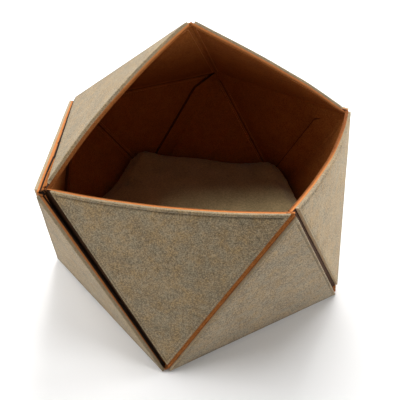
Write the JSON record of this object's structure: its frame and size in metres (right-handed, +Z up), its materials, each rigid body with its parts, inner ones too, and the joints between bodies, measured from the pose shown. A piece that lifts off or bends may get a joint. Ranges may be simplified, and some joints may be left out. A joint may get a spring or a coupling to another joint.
{
  "type": "felt cat cave",
  "caption": "Faceted felt cave for a cat: triangular outer panels stitched on a folded inner felt, with a wide open mouth in front and a filled cushion on the floor.",
  "frame": {"origin": "middle of the underside, on the upright axis of the form", "axes": "+Z up, -Y towards the front, where the mouth is, +X to the right seen from the front"},
  "size_m": [0.4695, 0.4903, 0.3957],
  "materials": {
    "outer_felt": "thick heathered taupe felt, matt",
    "inner_felt": "thick rust-orange felt, matt",
    "cushion_cloth": "finely knitted taupe cloth over a soft filling, matt"
  },
  "bodies": {
    "root": {"panel_front_upper": "outer_felt", "panel_front_lower": "outer_felt", "panel_right_front": "outer_felt", "panel_left_lower": "outer_felt", "panel_left_upper": "outer_felt", "panel_back_left_lower": "outer_felt", "panel_back_upper": "outer_felt", "panel_back_right_lower": "outer_felt", "panel_right_upper": "outer_felt", "panel_right_lower": "outer_felt", "panel_roof_left": "outer_felt", "panel_roof_back": "outer_felt", "panel_roof_right": "outer_felt", "panel_floor": "outer_felt", "inner_felt": "inner_felt", "cushion": "cushion_cloth"}
  },
  "joints": []
}
